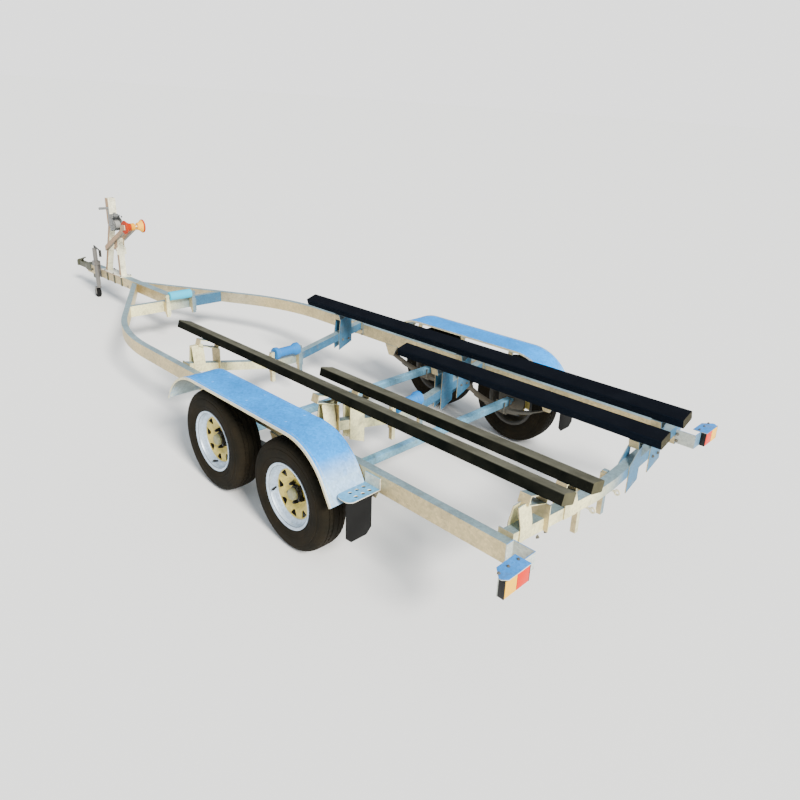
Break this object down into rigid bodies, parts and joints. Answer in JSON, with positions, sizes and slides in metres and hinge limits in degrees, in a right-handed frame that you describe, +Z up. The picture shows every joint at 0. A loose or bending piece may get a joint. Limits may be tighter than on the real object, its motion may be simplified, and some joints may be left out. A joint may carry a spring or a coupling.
{
  "type": "tandem axle boat trailer",
  "caption": "Galvanised boat trailer with curved side rails, tandem wheels, carpeted bunks, keel rollers, a winch post with bow roller and a jockey stand.",
  "frame": {"origin": "on the ground under the middle of the overall box", "axes": "+X forward to the coupling, +Y to the trailer's left, +Z up from the ground"},
  "size_m": [7.2918, 2.292, 1.1947],
  "materials": {
    "tyre_rubber": "matt black rubber",
    "wheel_steel": "galvanised wheel steel",
    "hub_iron": "grey iron",
    "bunk_carpet": "black marine carpet on timber",
    "roller_blue": "blue moulded polyurethane",
    "roller_amber": "amber polyurethane",
    "flap_rubber": "black moulded rubber",
    "lamp_lens": "red and amber lens",
    "jockey_rubber": "black rubber",
    "caliper_iron": "zinc plated casting",
    "spring_steel": "galvanised spring steel",
    "dark_steel": "dark olive passivated steel",
    "winch_steel": "zinc plated steel",
    "galvanised": "hot-dip galvanised steel"
  },
  "bodies": {
    "chassis": {"axle_front": "galvanised", "axle_rear": "galvanised", "bow_roller_bracket": "galvanised", "brake_calipers": "caliper_iron", "bunk_brackets": "galvanised", "bunk_inner_left": "bunk_carpet", "bunk_inner_right": "bunk_carpet", "bunk_outer_left": "bunk_carpet", "bunk_outer_right": "bunk_carpet", "chain_tab": "galvanised", "coupling_handle": "dark_steel", "coupling_head": "dark_steel", "cross_member_front": "galvanised", "cross_member_mid": "galvanised", "cross_member_rear": "galvanised", "cross_member_second": "galvanised", "drawbar": "galvanised", "guard_stays": "galvanised", "jockey_crank": "galvanised", "jockey_tube": "galvanised", "keel_supports": "galvanised", "lamp_brackets": "galvanised", "lamp_left": "lamp_lens", "lamp_right": "lamp_lens", "leaf_springs": "spring_steel", "mud_flaps": "flap_rubber", "mudguard_left": "galvanised", "mudguard_right": "galvanised", "post_straps": "dark_steel", "rail_left": "galvanised", "rail_right": "galvanised", "rear_props": "galvanised", "spring_hangers": "galvanised", "spring_rockers": "spring_steel", "step_plates": "galvanised", "winch_frame": "winch_steel", "winch_post": "galvanised"},
    "wheel_front_left": {"tyre_front_left": "tyre_rubber", "rim_front_left": "wheel_steel", "hub_front_left": "hub_iron"},
    "wheel_front_right": {"tyre_front_right": "tyre_rubber", "rim_front_right": "wheel_steel", "hub_front_right": "hub_iron"},
    "wheel_rear_left": {"tyre_rear_left": "tyre_rubber", "rim_rear_left": "wheel_steel", "hub_rear_left": "hub_iron"},
    "wheel_rear_right": {"tyre_rear_right": "tyre_rubber", "rim_rear_right": "wheel_steel", "hub_rear_right": "hub_iron"},
    "jockey_leg": {"jockey_leg": "galvanised"},
    "jockey_fork": {"jockey_fork": "galvanised"},
    "jockey_wheel": {"jockey_wheel": "jockey_rubber"},
    "bow_roller": {"bow_roller": "roller_amber"},
    "winch_drum": {"winch_drum": "winch_steel", "winch_handle": "winch_steel"},
    "keel_roller_front": {"keel_roller_front": "roller_blue"},
    "keel_roller_second": {"keel_roller_second": "roller_blue"},
    "keel_roller_mid": {"keel_roller_mid": "roller_blue"}
  },
  "joints": [
    {"name": "wheel_front_left_spin", "type": "hinge", "parent": "chassis", "child": "wheel_front_left", "pos_m": [-1.43385, 1.032, 0.329], "axis": [0, 1, 0], "continuous": true},
    {"name": "wheel_front_right_spin", "type": "hinge", "parent": "chassis", "child": "wheel_front_right", "pos_m": [-1.43385, -1.032, 0.329], "axis": [0, 1, 0], "continuous": true},
    {"name": "wheel_rear_left_spin", "type": "hinge", "parent": "chassis", "child": "wheel_rear_left", "pos_m": [-2.22185, 1.032, 0.329], "axis": [0, 1, 0], "continuous": true},
    {"name": "wheel_rear_right_spin", "type": "hinge", "parent": "chassis", "child": "wheel_rear_right", "pos_m": [-2.22185, -1.032, 0.329], "axis": [0, 1, 0], "continuous": true},
    {"name": "jockey_slide", "type": "slide", "parent": "chassis", "child": "jockey_leg", "axis": [-0.0502, 0, -0.9987], "range_m": [-0.02, 0.2]},
    {"name": "jockey_swivel", "type": "hinge", "parent": "jockey_leg", "child": "jockey_fork", "pos_m": [2.89412, 0.076, 0.11004], "axis": [0.0502, 0, 0.9987], "continuous": true},
    {"name": "jockey_wheel_spin", "type": "hinge", "parent": "jockey_fork", "child": "jockey_wheel", "pos_m": [2.93335, 0.076, 0.054], "axis": [0, 1, 0], "continuous": true},
    {"name": "keel_roller_front_spin", "type": "hinge", "parent": "chassis", "child": "keel_roller_front", "pos_m": [1.07332, 0, 0.47842], "axis": [0, 1, 0], "continuous": true},
    {"name": "keel_roller_second_spin", "type": "hinge", "parent": "chassis", "child": "keel_roller_second", "pos_m": [-0.67056, 0, 0.44494], "axis": [0, 1, 0], "continuous": true},
    {"name": "keel_roller_mid_spin", "type": "hinge", "parent": "chassis", "child": "keel_roller_mid", "pos_m": [-2.03683, 0, 0.51368], "axis": [0, 1, 0], "continuous": true},
    {"name": "bow_roller_spin", "type": "hinge", "parent": "chassis", "child": "bow_roller", "pos_m": [1.99752, 0, 0.97662], "axis": [0, 1, 0], "continuous": true},
    {"name": "winch_drum_spin", "type": "hinge", "parent": "chassis", "child": "winch_drum", "pos_m": [2.41961, 0, 0.92803], "axis": [0, 1, 0], "continuous": true}
  ]
}
